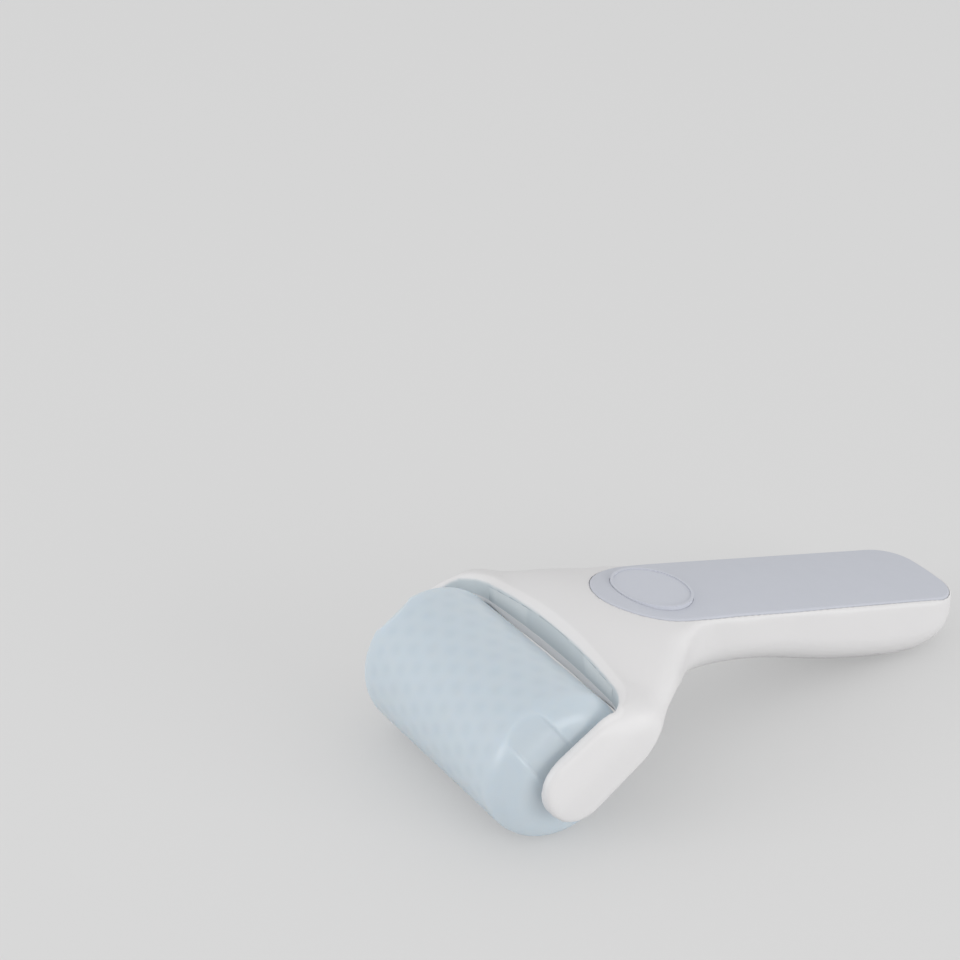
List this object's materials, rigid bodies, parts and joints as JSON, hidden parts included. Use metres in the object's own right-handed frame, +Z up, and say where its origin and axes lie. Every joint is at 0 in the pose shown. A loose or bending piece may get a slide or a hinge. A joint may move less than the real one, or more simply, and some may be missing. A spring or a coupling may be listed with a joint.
{
  "type": "derma roller",
  "caption": "Cooling face roller: a gel-filled drum that turns freely between the arms of a forked handle, with an inlaid grip panel.",
  "frame": {"origin": "middle of the roller's overall length and width, on the surface that the drum and the handle's tail rest on", "axes": "+X from the drum to the handle's tail, +Y along the drum's axle, +Z up"},
  "size_m": [0.195, 0.0954, 0.0505],
  "materials": {
    "shell_white": "smooth, softly glossy white moulded plastic",
    "liner_white": "smooth satin white moulded plastic",
    "panel_lavender": "soft-touch matt pale lavender grey",
    "inner_plastic": "plain grey moulded plastic, not seen in use",
    "adhesive": "thin foam adhesive sheet, not seen in use",
    "steel": "turned stainless steel",
    "bearing_plastic": "slippery natural acetal",
    "drum_blue": "satin pale ice blue plastic, slightly translucent, with a shallow relief of round spots",
    "seal_rubber": "soft sealing rubber",
    "gel": "soft cooling gel, sealed inside the drum"
  },
  "bodies": {
    "handle": {"yoke_shell": "shell_white", "bridge_liner": "liner_white", "arm_cover_left": "shell_white", "arm_cover_right": "shell_white", "grip_panel": "panel_lavender", "badge": "panel_lavender", "panel_adhesive": "adhesive", "panel_carrier": "inner_plastic", "panel_screws": "steel", "pivot_left": "steel", "pivot_right": "steel", "thrust_washer_left": "bearing_plastic", "thrust_washer_right": "bearing_plastic"},
    "drum": {"drum_sleeve": "drum_blue", "drum_cap_left": "drum_blue", "drum_cap_right": "drum_blue", "cap_seal_left": "seal_rubber", "cap_seal_right": "seal_rubber", "bush_left": "bearing_plastic", "bush_right": "bearing_plastic", "filler_plug": "drum_blue", "plug_seal": "seal_rubber", "cooling_gel": "gel"}
  },
  "joints": [
    {"name": "drum_spin", "type": "hinge", "parent": "handle", "child": "drum", "pos_m": [-0.0745, 0, 0.023], "axis": [0, 1, 0], "continuous": true}
  ]
}
